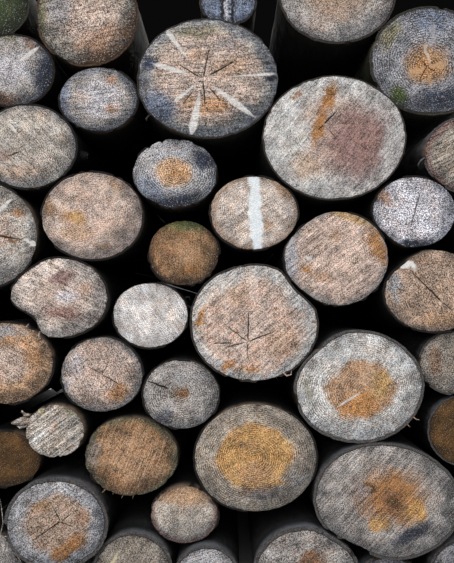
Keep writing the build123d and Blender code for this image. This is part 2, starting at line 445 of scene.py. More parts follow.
# How the detailed logs are divided
thick_log = 85               # millimetres from pith to bark, above which a log has more spokes
wood_rings = (0.03, 0.08, 0.14, 0.2, 0.27, 0.34, 0.41, 0.48, 0.55, 0.62, 0.69, 0.76, 0.83, 0.89, 0.94,
              0.975, 1.0)    # shares of the way from the pith to the bark
bark_section = ((0.06, 2.2, 1.02), (0.2, 1.4, 1.06), (0.62, 0.8, 1.08), (1.0, 1.6, 1.1))
edge_rows = (0.0, 1.2, 3.5, 8, 15, 26, 42, 65, 100, 150, 215)
top_rings = (1.0, 0.96, 0.8, 0.6, 0.4, 0.2, 0.05)
top_grain = 400.0            # sets the noise of the top end apart from that of the butt end
least_bare = 4 * MM          # where less bark than this has come off, it is still on
bark_stretch = 0.2           # the bark's relief is five times as long as it is wide
wood_slot, bark_slot = range(2)
butt_chart, bark_chart, top_chart, loose_chart = range(4)

# Where the map for the baked colours has its charts: left, low, width and height as shares of the map
map_places = {butt_chart: (0.01, 0.4, 0.59, 0.59), bark_chart: (0.01, 0.01, 0.98, 0.37),
              top_chart: (0.62, 0.62, 0.37, 0.37), loose_chart: (0.62, 0.41, 0.37, 0.18)}
map_margin = 0.01            # the bark's chart reaches this far beyond both ends of the stack
end_room = 2.08              # width of an end's chart, as a multiple of the log's widest reach
loose_tile = 0.3             # this length of a stub or a shred fills its chart once


class Log:
    """One log: what its plain solid tells, and the detailed mesh that takes its place, ring by ring."""

    def __init__(self, name, butt):
        self.name, self.butt = name, butt
        self.measure(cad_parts[name].data)
        own = random.Random(name + "shape")
        self.seed = np.array(Vector([own.uniform(0, 50) for _ in range(3)]))
        self.thick = butt.bark_thick * MM
        self.pith = np.array(butt.pith) * MM
        self.look_out()
        kinds = (("crack", butt.cracks), ("splinter", butt.splinters), ("wedge", butt.wedges))
        self.rays = [Ray(kind, *row) for kind, rows in kinds for row in rows]
        if not self.rays:    # the spokes need one to start from, so it lies where it can't show
            beyond_the_bark = (400, 500)
            self.rays = [Ray("crack", own.uniform(0, 360), *beyond_the_bark)]
        self.rays.sort(key=lambda ray: ray.direction % 360)
        self.verts, self.grain, self.marks, self.ring_charts = [], [], [], []
        self.faces, self.slots, self.charts = [], [], []
        self.edge()
        self.sawn_end()
        self.bark()
        self.top_end()
        self.close()
        for stub in butt.stubs:
            self.stub(*stub)
        for fibre in butt.fibres:
            self.shred(fibre)
        self.dress()

    def measure(self, mesh):
        """Reads the middles of both ends, the outline near both, and the slant of both saw cuts."""
        points = np.array([v.co for v in mesh.vertices])
        tree = BVHTree.FromPolygons([v.co for v in mesh.vertices], [tuple(p.vertices) for p in mesh.polygons])
        low, high = points[:, 1].min(), points[:, 1].max()
        middles = []
        for near in (points[:, 1] < low + end_depth, points[:, 1] > high - end_depth):
            middles.append((points[near].min(0) + points[near].max(0)) / 2)
        self.front, self.back = middles
        self.stations = (low + station_inset, high - station_inset)
        self.outlines = []
        for y in self.stations:
            middle = Vector(self.axis(y))
            rays = [Vector((math.cos(a), 0, math.sin(a))) for a in outline_angles]
            self.outlines.append([tree.ray_cast(middle, ray)[3] for ray in rays])
        self.cuts = []
        for middle, from_y, way in ((self.front, low - stand_off, 1), (self.back, high + stand_off, -1)):
            rows = []
            for dx, dz in ((probe, 0), (-probe, 0), (0, probe), (0, -probe)):
                start = Vector((middle[0] + dx, from_y, middle[2] + dz))
                rows.append((dx, dz, 1, tree.ray_cast(start, Vector((0, way, 0)))[0].y))
            rows = np.array(rows)
            slant, *_ = np.linalg.lstsq(rows[:, :3], rows[:, 3], rcond=None)
            self.cuts.append(slant)

    def axis(self, y):
        """The point of the log's middle line at this y."""
        return self.front + (self.back - self.front) * (y - self.front[1]) / (self.back[1] - self.front[1])

    def reach(self, angle, y):
        """How far the bark is from the middle line."""
        near, far = (np.interp(np.mod(angle, full_turn), outline_angles, line) for line in self.outlines)
        first, last = self.stations
        return near + (far - near) * (y - first) / (last - first)

    def cut_at(self, end, x, z):
        """Where the saw cut of the butt end (0) or the top end (1) lies at x and z."""
        across, up, y = self.cuts[end]
        middle = (self.front, self.back)[end]
        return across * (x - middle[0]) + up * (z - middle[2]) + y

    def look_out(self):
        """Finds how far the outside of the bark is from the pith in every direction."""
        table = np.linspace(0, full_turn, 361)[:-1]
        line = np.column_stack([np.cos(table), np.sin(table)]) * self.reach(table, self.front[1])[:, None]
        line = line - self.pith
        seen = np.mod(np.unwrap(np.arctan2(line[:, 1], line[:, 0])), full_turn)
        order = np.argsort(seen)
        self.seen, self.spans = seen[order], np.hypot(line[:, 0], line[:, 1])[order]
        self.butt.span = float(self.spans.mean()) / MM
        self.widest = max(self.spans.max(), self.reach(table, self.front[1]).max())

    def span(self, way):
        return np.interp(np.mod(way, full_turn), self.seen, self.spans, period=full_turn)

    def spokes(self, share):
        """Directions of the mesh's spokes at one distance from the pith, and how much of a crack or a
        splinter each spoke carries there. A ray has five spokes of its own, and the others are spread
        between the rays."""
        count = 84 if self.butt.span > thick_log else 68
        ways = [math.radians(ray.direction % 360) for ray in self.rays]
        gaps = [(after - way) % full_turn or full_turn for way, after in zip(ways, ways[1:] + ways[:1])]
        halves = []
        for index, ray in enumerate(self.rays):
            far = share * self.span(ways[index]) / MM
            along = (far - ray.start) / max(ray.stop - ray.start, 1)
            full_from, full_to = (0.05, 0.93) if ray.kind == "crack" else (0.22, 0.8)
            inside = float(smooth(along, -0.06, full_from) * smooth(along, 1.06, full_to))
            wide = max(ray.width_at(along) * inside, 0.3)
            soft, jitter = 1.2 + 0.25 * wide, 0.0
            if ray.kind == "crack":
                soft = 0.7
                jitter = 1.8 * wobble([(far * 0.09, ray.direction, 3)], 1.0)[0] / max(far, 6)
            limit = 0.4 * min(gaps[index], gaps[index - 1])
            inner, outer = wide / 2 / max(far, 1), (wide / 2 + soft) / max(far, 1)
            shrink = min(1, limit / outer)
            halves.append((inner * shrink, outer * shrink, inside, jitter))
        angles, cracks, splinters = [], [], []
        for index, (inner, outer, inside, jitter) in enumerate(halves):
            way = ways[index] + jitter
            _, next_outer, _, next_jitter = halves[(index + 1) % len(halves)]
            dark, light = (inside, 0) if self.rays[index].kind == "crack" else (0, inside)
            angles += [way - outer, way - inner, way, way + inner, way + outer]
            cracks += [0, dark * 0.8, dark, dark * 0.8, 0]
            splinters += [0, light, light, light, 0]
            number = max(1, round(count * gaps[index] / full_turn))
            first, last = way + outer, ways[index] + gaps[index] + next_jitter - next_outer
            angles += [first + (last - first) * step / (number + 1) for step in range(1, number + 1)]
            cracks += [0] * number
            splinters += [0] * number
        return np.array(angles), np.array(cracks), np.array(splinters)

    def edge_noise(self, scale, offset):
        circle = np.column_stack([np.cos(self.ways), np.sin(self.ways), np.full(len(self.ways), offset)])
        return wobble(circle + self.seed, scale)

    def edge(self):
        """Where the bark has come off, and where chips are missing from the edge of the wood."""
        self.ways, *_ = self.spokes(1.0)
        patches = self.edge_noise(1.6, 1.0) + 0.35 * self.edge_noise(6, 2.0)
        bare = smooth(patches, 0.62 - 1.3 * self.butt.shed, 0.72 - 1.3 * self.butt.shed)
        self.bare_length = bare * (14 + 50 * np.clip(self.edge_noise(2.2, 9.0) + 0.3, 0, 1)) * MM
        chips = smooth(self.edge_noise(6, 4.0) + 0.8 * self.edge_noise(15, 5.0), -0.1, 0.9)
        self.notch = (2.5 + self.butt.ragged) * MM * chips
        self.left_on = (self.bare_length < least_bare).astype(float)

    def ring(self, chart, points, grain, marks):
        """Adds a ring of points, with their places in the grain and what lies there."""
        self.ring_charts.append(chart)
        for rows, columns in ((self.verts, points), (self.grain, grain), (self.marks, marks)):
            rows.append(np.column_stack([np.broadcast_to(column, len(self.ways)) for column in columns]))

    def end_ring(self, ways, far, sunk, marks):
        """Adds a ring of the sawn end, this far from the pith and this deep behind the saw cut. Where no
        depth is given, the wood's roughness, cracks and splinters make it."""
        x, z = self.pith[0] + far * np.cos(ways), self.pith[1] + far * np.sin(ways)
        across, up = self.front[0] + x, self.front[2] + z
        if sunk is None:
            rough = wobble(np.column_stack([x, z, x * 0]) + self.seed, 28.0) * 0.5 * MM
            sunk = rough + marks[1] * 7 * MM - marks[2] * 1.6 * MM
        y = self.cut_at(0, across, up) + sunk
        self.ring(butt_chart, (across, y, up), (x / MM, z / MM, 0), marks)

    def sawn_end(self):
        """The butt end, from the pith out: wood with its cracks and splinters, then the bark's section."""
        for share in wood_rings:
            ways, crack, splinter = self.spokes(share)
            far = (self.span(ways) - self.thick) * share - self.notch * smooth(share, 0.75, 1.0)
            self.end_ring(ways, far, None, (share, crack, splinter))
        wood_edge = self.span(self.ways) - self.thick - self.notch
        bark_out = wood_edge + self.notch * 0.5 + self.thick * self.left_on
        chipped = np.abs(self.edge_noise(9, 7.0))
        for part, depth, code in bark_section:
            far = wood_edge + (bark_out - wood_edge) * part + 0.2 * MM * part
            sunk = (depth + 2.2 * chipped) * MM * self.left_on + 0.3 * MM
            self.end_ring(self.ways, far, sunk, (code * self.left_on + (1 - self.left_on), 0, 0))

    def bark(self):
        """The bark from the butt end to the top end, with more rows where it can be seen."""
        front, back = self.front, self.back
        edge = self.verts[-1]
        turn = np.arctan2(edge[:, 2] - front[2], edge[:, 0] - front[0])
        spacing, depth = (0.045, 2.6 * MM) if self.butt.outer else (0.16, 1.8 * MM)
        full = back[1] - front[1]
        start = edge_rows[-1] * MM
        inner_rows = np.linspace(start, full - 0.012, int((full - start) / spacing) + 1)[1:]
        back_reach = self.reach(turn, back[1])
        y_back = self.cut_at(1, back[0] + back_reach * np.cos(turn), back[2] + back_reach * np.sin(turn))
        for away in np.concatenate([np.array(edge_rows) * MM, inner_rows, [full - 0.004, full - 0.001]]):
            y = edge[:, 1] + (y_back - edge[:, 1]) * (away / full)
            middle = front + (back - front) * ((y - front[1]) / full)[:, None]
            radius = self.reach(turn, y)
            around = np.column_stack([middle[:, 0] + radius * np.cos(turn), y * bark_stretch,
                                      middle[:, 2] + radius * np.sin(turn)]) + self.seed
            relief = 0.5 - 0.5 * wobble(around, 42.0) - 0.3 * wobble(around, 110.0)
            radius = radius - depth * np.clip(relief, 0, 1.3) * smooth(away, 0, 0.006)
            bare = smooth(self.bare_length - away, -0.004, 0.002) * (self.bare_length > least_bare)
            radius = radius - self.thick * bare - self.notch * smooth(0.05 - away, 0, 0.05)
            if away == 0:
                radius = np.hypot(edge[:, 2] - front[2], edge[:, 0] - front[0])
            # Painted shade: inside the pile the bark is marked to darken from 4 to 70 mm behind the butt end
            gap_shade = 0 if self.butt.outer else smooth(away, 0.004, 0.07)
            x, z = middle[:, 0] + radius * np.cos(turn), middle[:, 2] + radius * np.sin(turn)
            self.ring(bark_chart, (x, y, z), (0, 0, 0), (bare, gap_shade, 0))

    def top_end(self):
        """The top end from the bark to its pith, which the photograph doesn't show."""
        rim, back = self.verts[-1], self.back
        for share in top_rings:
            x, z = (rim[:, 0] - back[0]) * share, (rim[:, 2] - back[2]) * share
            rough = wobble(np.column_stack([x, z, x * 0]) + self.seed, 25.0) * 0.6 * MM
            y = self.cut_at(1, back[0] + x, back[2] + z) - rough - 0.4 * MM
            code = 1.06 if share == 1 else share
            self.ring(top_chart, (back[0] + x, y, back[2] + z), (x / MM, z / MM, top_grain), (code, 0, 0))

    def add_faces(self, faces, slot, chart):
        self.faces += faces.tolist()
        self.slots += [slot] * len(faces)
        self.charts += [chart] * len(faces)

    def band(self, first, columns, slot, chart):
        """Adds the faces between the ring of points that starts here and the next one."""
        index = np.arange(columns)
        after = (index + 1) % columns
        quads = np.column_stack([index, after, after + columns, index + columns])
        self.add_faces(quads + first, slot, chart)

    def close(self):
        """Joins the rings with faces, and the first and the last one with the pith."""
        columns = len(self.ways)
        for number, (chart, after) in enumerate(zip(self.ring_charts, self.ring_charts[1:])):
            if chart == after:
                slot = bark_slot if chart == bark_chart else wood_slot
                self.band(number * columns, columns, slot, chart)
        index = np.arange(columns)
        after = (index + 1) % columns
        last = (len(self.ring_charts) - 1) * columns
        tip = np.full(columns, last + columns)
        self.add_faces(np.column_stack([tip, after, index]), wood_slot, butt_chart)
        self.add_faces(np.column_stack([tip + 1, last + index, last + after]), wood_slot, top_chart)
        (x, z), (front, back) = self.pith, (self.front, self.back)
        self.verts.append(np.array([[front[0] + x, self.cuts[0][2] + 0.5 * MM, front[2] + z],
                                    [back[0], self.cuts[1][2] - 0.5 * MM, back[2]]]))
        self.grain.append(np.array([[x / MM, z / MM, 0], [0, 0, top_grain]]))
        self.marks.append(np.zeros((2, 3)))

    def tube(self, rings, side_slot, tip_slot, gap_shaded=0.0):
        """Adds a closed run of equal rings of points, with a flat fan over its last ring."""
        base, sides = sum(len(points) for points in self.verts), len(rings[0])
        points = np.concatenate(rings + [np.mean(rings[-1], axis=0)[None]])
        share = 0.5 if side_slot == wood_slot else 0.0
        self.verts.append(points)
        self.grain.append((points - self.front)[:, [0, 2, 1]] / MM)
        # The second mark carries the painted shade for bark deep in the pile
        self.marks.append(np.tile([share, gap_shaded, 0.0], (len(points), 1)))
        for number in range(len(rings) - 1):
            self.band(base + number * sides, sides, side_slot, loose_chart)
        index = np.arange(sides)
        last = base + (len(rings) - 1) * sides
        tip = np.full(sides, last + sides)
        fan = np.column_stack([last + index, last + (index + 1) % sides, tip])
        self.add_faces(fan, tip_slot, loose_chart)

    def stub(self, along, direction, width, length):
        """The broken base of a branch, which stands out of the bark."""
        y, way, tall = front_plane + along * MM, math.radians(direction), length * MM
        outward = np.array([math.cos(way), 0, math.sin(way)])
        sideways = np.array([-math.sin(way), 0, math.cos(way)])
        skin = float(self.reach(np.array([way]), y)[0])
        turn = np.linspace(0, full_turn, 15)[:-1]
        rings = []
        for rise, share in ((-8 * MM, 1.5), (0, 1.22), (0.3 * tall, 1.04), (0.75 * tall, 0.98),
                            (tall, 0.86), (0.9 * tall, 0.5)):
            circle = np.column_stack([np.cos(turn), np.sin(turn), turn * 0 + rise * 80])
            far = width / 2 * MM * share * (1 + 0.12 * wobble(circle, 1.7))
            broken = 0.12 * tall * np.sin(turn * 3 + direction) if rise > 0.5 * tall else turn * 0
            rings.append(self.axis(y) + np.outer(skin + rise + broken, outward)
                         + np.outer(far * np.cos(turn), sideways) + np.outer(far * np.sin(turn), (0, 1, 0)))
        # Stubs of logs inside the pile carry the painted shade all over
        self.tube(rings, bark_slot, wood_slot, 0.0 if self.butt.outer else 1.0)

    def shred(self, fibre):
        """A strip of wood or bark that hangs off the edge and thins out to its tip."""
        run = np.array(fibre.points, float) * MM
        centre = self.front + run[:, [0, 2, 1]]
        rings = []
        for number, point in enumerate(centre):
            ahead = centre[min(number + 1, len(centre) - 1)] - centre[max(number - 1, 0)]
            beside = np.cross(ahead, (0, 1, 0))
            beside /= max(np.linalg.norm(beside), 1e-6)
            wide = fibre.width / 2 * MM * (1 - 0.8 * (number / (len(centre) - 1)) ** 2)
            back = np.array([0, wide * 0.5, 0])
            rings.append(np.array([point + beside * wide, point + back, point - beside * wide, point - back]))
        slot = bark_slot if fibre.bark else wood_slot
        self.tube(rings, slot, slot)

    def unwrap(self, mesh):
        """One map for the baked colours: most room for the butt end, then the bark, then the top end."""
        corner = np.zeros(len(mesh.loops), np.int32)
        mesh.loops.foreach_get("vertex_index", corner)
        sizes = np.zeros(len(mesh.polygons), np.int32)
        mesh.polygons.foreach_get("loop_total", sizes)
        of_face = np.repeat(np.arange(len(sizes)), sizes)
        chart = np.array(self.charts)[of_face]
        spot = self.verts[corner]
        columns = len(self.ways)
        column = corner % columns
        on_last = (of_face % columns) == columns - 1
        column = np.where(on_last & (column == 0), columns, column)
        front_y, back_y = cad_box[0][1] - map_margin, cad_box[1][1] + map_margin
        along = (spot - self.front) / loose_tile
        end_width = end_room * self.widest
        shares = {
            butt_chart: 0.5 + (spot - self.front)[:, [0, 2]] / end_width,
            bark_chart: np.column_stack([(spot[:, 1] - front_y) / (back_y - front_y), column / columns]),
            top_chart: 0.5 + (spot - self.back)[:, [0, 2]] / end_width,
            loose_chart: np.column_stack([np.mod(along[:, 0] + along[:, 1], 1), np.mod(along[:, 2], 1)]),
        }
        places = np.zeros((len(corner), 2))
        for code, (left, low, wide, high) in map_places.items():
            here = chart == code
            places[here] = (left, low) + shares[code][here] * (wide, high)
        layer = mesh.uv_layers.new(name="OFBake")
        layer.data.foreach_set("uv", places.astype(np.float32).ravel())

    def dress(self):
        """Makes the mesh and its finishes, and puts the log in the place of its plain solid."""
        name = self.name
        self.verts = np.concatenate(self.verts)
        mesh = bpy.data.meshes.new(name + "_log")
        mesh.from_pydata(self.verts.tolist(), [], self.faces)
        mesh.polygons.foreach_set("material_index", self.slots)
        mesh.polygons.foreach_set("use_smooth", [True] * len(self.faces))
        for label, rows in (("grain", self.grain), ("marks", self.marks)):
            values = np.concatenate(rows).astype(np.float32).ravel()
            mesh.attributes.new(label, "FLOAT_VECTOR", "POINT").data.foreach_set("vector", values)
        self.unwrap(mesh)
        mesh.materials.append(sawn_wood(name, self.butt))
        mesh.materials.append(bark_finishes[self.butt.bark])
        mesh.validate()
        log = bpy.data.objects.new(name + "_log", mesh)
        bpy.context.scene.collection.objects.link(log)
        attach(log, "root")
        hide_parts(name)


def common_butt(name, outer=True, stubs=()):
    """A log end like most in the pile, for the logs that stand apart from the ones described one by one."""
    own = random.Random(name + "look")
    sap = own.choice([tan, ash, sand, dust, cream, umber])
    heart = own.choice([None, russet, tan, umber])
    pith = (own.uniform(-12, 12), own.uniform(-12, 12))
    cracks = tuple((own.uniform(0, 360), own.uniform(0, 8), own.uniform(30, 62))
                   for _ in range(own.randint(1, 4)))
    blots = tuple(Blot(own.choice([rust, mauve, blue_black, grey, gold]), own.uniform(-55, 55),
                       own.uniform(-45, 45), own.uniform(14, 34), own.uniform(10, 22),
                       own.uniform(0, 180), own.uniform(0.3, 0.6))
                  for _ in range(own.randint(1, 3)))
    return Butt(sap, heart, own.uniform(0.4, 0.65), 0.12, pith, own.uniform(3.2, 5), own.uniform(0.1, 0.3),
                (own.uniform(0, 180), own.uniform(0.1, 0.5)), speckle=own.uniform(0.8, 1.1),
                bark=own.choice(["dark", "grey", "brown"]) if outer else "damp_and_shade",
                bark_thick=own.uniform(3.5, 6), shed=own.uniform(0.2, 0.5),
                blots=blots, cracks=cracks, outer=outer, stubs=stubs)


butts = {
    "log_01": common_butt("log_01"),
    "log_02": common_butt("log_02", False),
    "log_03": Butt(
        dust, saw=(80, 0.6), ragged=7,
        fibres=(Fibre(((40, 50, 6), (52, 90, -10), (48, 140, -20)), 3),
                Fibre(((60, 40, 6), (66, 70, -14), (80, 96, -18)), 4, True),
                Fibre(((20, 70, 6), (34, 104, -12), (62, 128, -16)), 4, True),
                Fibre(((50, 60, 6), (72, 64, -16), (84, 52, -20)), 3),
                Fibre(((30, 74, 4), (40, 92, -14), (36, 118, -22)), 3),
                Fibre(((66, 30, 4), (80, 26, -14), (90, 12, -18)), 4))),
    "log_04": Butt(
        drab, saw=(60, 0.3), bark="grey", bark_thick=7, shed=0.15,
        blots=(Blot(straw, -38, 16, 7, 22, -25, 0.9, True),)),
    "log_05": Butt(ash, saw=(20, 0.25), bark="grey", bark_thick=6, shed=0.1),
    "log_06": Butt(
        dust, saw=(30, 0.3), bark="grey", bark_thick=8, shed=0.05,
        blots=(Blot(brown, 10, 16, 34, 26, 20, 0.85),)),
    "log_07": Butt(slate, bark="grey", bark_thick=6),
    "log_08": Butt(slate, bark="grey", bark_thick=6),
    "log_09": common_butt("log_09"),
    "log_10": common_butt("log_10"),
}
for name, butt in butts.items():
    Log(name, butt)


# Second course
# Logs laid in the hollows between the floor logs. Most have weathered grey sapwood round an orange-brown
# heart. One stands a little proud of the rest, and one has a knot beside its dark pith.

butts = {
    "log_11": Butt(
        ash, umber, 0.68, 0.08, (9, 6), 4, 0.25, (38, 0.35), bark="grey", bark_thick=7, shed=0.1,
        blots=(Blot(rust, 34, -38, 34, 20, 35, 0.9), Blot(hazel, -28, 36, 24, 14, 10, 0.7),
               Blot(clay, 52, 16, 18, 16, 40, 0.7), Blot(rust, 8, -58, 24, 14)),
        cracks=((214, 0, 62), (118, 0, 34), (335, 0, 30), (34, 4, 26, 1.0))),
    "log_12": Butt(
        sand, saw=(50, 0.15), rim=mauve, rim_reach=0.88, shed=0.6, speckle=0.8,
        blots=(Blot(apricot, 0, 44, 72, 34, 0, 0.75), Blot(dust, 4, -30, 60, 22, 0, 0.4))),
    "log_13": Butt(
        dust, saw=(47, 0.55), pith=(10, -4), bark="grey", bark_thick=6, shed=0.2, mottle=0.2,
        blots=(Blot(rust, 6, 10, 84, 62, -10, 0.9), Blot(honey, 54, -14, 28, 34, 20, 0.9),
               Blot(honey, -18, -46, 26, 16), Blot(brown, 10, 0, 36, 28, -30),
               Blot(bitter, 14, -2, 19, 13, -35, 1), Blot(bitter, -38, 27, 19, 13, -20, 0.9),
               Blot(hazel, -38, 26, 7, 4, 0, 0.9), Blot(blue_black, 52, -62, 56, 16, 28),
               Blot(slate, -52, 22, 16, 30, 40, 0.5))),
    "log_14": common_butt("log_14", False),
    "log_15": common_butt("log_15"),
    "log_16": common_butt("log_16", False),
    "log_17": common_butt("log_17"),
    "log_18": Butt(bitter, speckle=0.6, shed=0.6),
    "log_19": Butt(
        hazel, russet, 0.66, 0.3, saw=(68, 0.45), ring_show=0.05, rim=olive, rim_reach=0.92, ragged=4,
        shed=0.75, speckle=0.8,
        blots=(Blot(brown, -10, -62, 60, 14, 0, 0.6), Blot(dust, -78, 8, 18, 34, 0, 0.6)),
        fibres=(Fibre(((-46, -60, 5), (-55, -68, -4), (-60, -74, -6)), 4),
                Fibre(((-16, -76, 5), (-20, -84, -3)), 3), Fibre(((-34, -68, 5), (-38, -77, -4)), 2.4),
                Fibre(((4, -78, 5), (2, -86, -2)), 2))),
    "log_20": Butt(
        bran, honey, 0.62, 0.07, (-4, 0), 4.2, 0.55, (30, 0.12), shed=0.55, speckle=0.85,
        blots=(Blot(blue_black, 8, -70, 62, 20, 0, 0.55), Blot(russet, -2, -30, 48, 26, 0, 0.6),
               Blot(hazel, -14, 22, 26, 16, 0, 0.5), Blot(grey, 80, -44, 26, 22, 0, 0.5))),
    "log_21": Butt(
        sand, saw=(36, 0.95), ragged=6, shed=0.9, grime_and_shade=0.3,
        blots=(Blot(straw, -26, 40, 14, 10), Blot(olive, 30, 42, 34, 9, -30, 0.6),
               Blot(clay, -6, 6, 16, 12, 30, 0.5), Blot(pale, -30, -8, 30, 9, 38, 0.7)),
        fibres=(Fibre(((-50, 22, 4), (-66, 20, -8), (-84, 17, -12)), 20),
                Fibre(((-48, 30, 4), (-58, 34, -8), (-64, 42, -10)), 10),
                Fibre(((-52, 12, 4), (-68, 8, -6), (-74, 12, -8)), 8))),
    "log_22": Butt(bitter, speckle=0.7, bark="grey"),
    "log_23": common_butt("log_23"),
    "log_24": common_butt("log_24"),
}
for name, butt in butts.items():
    Log(name, butt)


# Middle of the pile
# The logs between the second course and the upper ones, wedged against each other so closely that some
# are flattened where they meet. Their ends differ most: pale and fresh, ringed, cracked or stained.

butts = {
    "log_25": Butt(
        dust, drab, 0.2, 0.08, (0, 2), 4.5, 0.5, (10, 0.1), shed=0.5, mottle=0.2,
        blots=(Blot(brown, 2, 2, 17, 12, 0, 0.9), Blot(blue_black, -30, -44, 24, 18, 40, 0.6),
               Blot(grey, 20, 36, 34, 20, 0, 0.4)),
        cracks=((160, 30, 74, 4), (205, 8, 24, 1))),
    "log_26": Butt(
        russet, tan, 0.45, 0.2, saw=(150, 0.25), shed=0.4,
        blots=(Blot(grey, -10, 62, 60, 16, 0, 0.7), Blot(rust, 52, 12, 26, 22, 0, 0.4)),
        splinters=((150, 6, 44, 5),),
        stubs=((400, -58, 34, 12),)),
    "log_27": Butt(
        tan, rose, 0.5, 0.2, rim=dust, saw=(120, 0.15), shed=0.5,
        blots=(Blot(orange, 32, -36, 28, 20, 30, 0.7), Blot(lilac, -52, 20, 22, 40, 0, 0.5)),
        cracks=((330, 2, 46, 1), (150, 3, 34, 1), (60, 2, 22, 1))),
    "log_28": Butt(
        bone, russet, 0.55, 0.06, (10, -7), 4.0, 0.42, (60, 0.08), bark="grey", bark_thick=6, shed=0.25,
        grime_and_shade=0.6, speckle=0.85,
        blots=(Blot(orange, 0, -36, 50, 30, 20, 0.85), Blot(gold, 44, 4, 24, 34, 0, 0.7),
               Blot(olive, -100, -6, 10, 34, 10, 0.5)),
        splinters=((212, 6, 70, 2.5),),
        fibres=(Fibre(((104, -58, 6), (112, -64, -2), (118, -65, -6)), 3),
                Fibre(((94, -74, 6), (101, -80, -3)), 3)),
        stubs=((1060, 81, 36, 16),)),
    "log_29": Butt(
        drab, saw=(30, 0.2), speckle=1.3, bark="grey", shed=0.4,
        blots=(Blot(blue_black, 20, -30, 34, 16, 20, 0.6), Blot(brown, -44, 6, 16, 34, 0, 0.6))),
    "log_30": common_butt("log_30"),
    "log_31": common_butt("log_31", False),
    "log_32": common_butt("log_32", False),
    "log_33": common_butt("log_33"),
    "log_34": Butt(
        chalk, saw=(125, 0.18), speckle=0.7, shed=0.5, grime_and_shade=0.4,
        fibres=(Fibre(((70, 36, 6), (78, 38, 0), (81, 30, -4)), 5, True),
                Fibre(((74, 20, 8), (82, 16, 0), (84, 8, -3)), 5, True)),
        stubs=((660, -45, 28, 12),)),
    "log_35": Butt(
        cream, tan, 0.6, 0.2, saw=(155, 0.4), mottle=0.2, speckle=0.85,
        blots=(Blot(mauve, 6, 40, 36, 14, 10), Blot(mauve, 8, -30, 50, 16, -8, 0.75),
               Blot(lilac, 16, 8, 26, 18, 0, 0.7), Blot(clay, 54, 16, 16, 18, 0, 0.5)),
        fibres=(Fibre(((-60, -52, 6), (-66, -58, -2), (-70, -56, -4)), 4),
                Fibre(((-38, -66, 6), (-40, -74, -3), (-34, -78, -4)), 4),
                Fibre(((-24, -70, 6), (-20, -77, -3)), 3))),
    "log_36": Butt(
        cream, rose, 0.8, 0.07, (-13, -37), 4.4, 0.1, (42, 0.38), rim=bone, rim_reach=0.86, bark="dark",
        shed=0.35, mottle=0.35, grime_and_shade=0.4, speckle=0.8,
        blots=(Blot(orange, -104, 16, 9, 30, -20, 0.85), Blot(orange, -52, -84, 22, 11, 25, 0.85),
               Blot(orange, -10, -90, 22, 9, -10, 0.7), Blot(russet, 54, -40, 38, 40, 30, 0.5),
               Blot(straw, -24, -98, 13, 6, 0, 0.6), Blot(apricot, -34, 52, 30, 24, 40, 0.35)),
        cracks=((88, 0, 60, 2), (21, 4, 52, 2), (194, 0, 44, 2), (183, 42, 72, 1.4), (143, 0, 46, 1.2),
                (268, 4, 30, 1)),
        splinters=((210, 6, 28, 4),),
        fibres=(Fibre(((56, -96, 6), (64, -104, -2), (72, -101, -6), (73, -93, -4)), 4),)),
    "log_37": Butt(
        umber, saw=(120, 0.15), pith=(18, -22), speckle=1.1, shed=0.4, mottle=0.2,
        blots=(Blot(grey, -76, 6, 16, 40, 0, 0.75), Blot(russet, 20, -58, 60, 22, 0, 0.7),
               Blot(orange, 80, 0, 22, 40, 0, 0.5), Blot(clay, -28, 58, 34, 10, 15, 0.5),
               Blot(pale, -52, 54, 26, 9, -25, 1, True)),
        cracks=((135, 2, 84, 2.4), (320, 2, 30, 1))),
    "log_38": common_butt("log_38"),
    "log_39": common_butt("log_39"),
    "log_40": Butt(
        rose, saw=(38, 0.4), shed=0.55, mottle=0.12, rim=dust, rim_reach=0.93, grime_and_shade=0.5, speckle=0.75,
        blots=(Blot(pewter, -92, 6, 20, 52), Blot(pale, -54, 2, 11, 6, -10, 0.7, True),
               Blot(orange, -58, -22, 12, 8, -20, 0.85), Blot(russet, -28, -36, 22, 13, -30, 0.6),
               Blot(orange, 82, 24, 17, 48, 25), Blot(gold, 30, 82, 56, 13, -20, 0.7),
               Blot(russet, -2, 46, 16, 12, 0, 0.5))),
    "log_41": Butt(
        hazel, russet, 0.34, 0.3, saw=(90, 0.05), ring_show=0.05, rim=brown, rim_reach=0.88, shed=0.6,
        grime_and_shade=1, speckle=0.75,
        blots=(Blot(moss, 6, 56, 50, 20, 0, 0.7), Blot(brown, -40, 0, 22, 40, 0, 0.5),
               Blot(rust, 14, -34, 24, 12, 0, 0.6))),
    "log_42": Butt(
        sand, tan, 0.6, 0.15, (0, 4), saw=(20, 0.2), outer=True,
        blots=(Blot(rust, 80, 46, 18, 13, 0, 0.7), Blot(bone, 40, -50, 40, 30, 0, 0.5),
               Blot(brown, 62, -6, 24, 4, -10, 1, True), Blot(pale, 100, -14, 18, 4, -10, 0.8, True)),
        cracks=((-8, 36, 88, 2),),
        splinters=((45, 40, 104, 5),)),
    "log_43": Butt(
        tan, rose, 0.5, 0.2, saw=(30, 0.1), shed=0.4, speckle=0.75,
        blots=(Blot(honey, -38, -4, 30, 17, -15, 0.75), Blot(hazel, -88, 20, 13, 30, 15, 0.7),
               Blot(russet, 28, -64, 13, 8, 0, 0.6), Blot(apricot, -28, -34, 40, 20, 0, 0.5),
               Blot(apricot, 44, 66, 22, 12, -40, 0.5))),
    "log_44": Butt(
        cream, saw=(35, 0.2), shed=0.5, rim=umber, grime_and_shade=0.4, speckle=0.75,
        blots=(Blot(ice, 3, 0, 12, 300, 2, 0.8, True), Blot(russet, 28, -24, 16, 13, 0, 0.6),
               Blot(russet, 62, 44, 22, 16, -35, 0.6))),
    "log_45": Butt(
        lilac, pith=(0, -4), saw=(60, 0.1), speckle=1.35, shed=0.6,
        blots=(Blot(clay, -64, 34, 16, 30, 35), Blot(blue_black, 0, -70, 60, 20, 5, 0.9),
               Blot(slate, 66, 16, 16, 30, 0, 0.5)),
        cracks=((74, 0, 42, 1.2), (255, 0, 26, 1))),
}
for name, butt in butts.items():
    Log(name, butt)


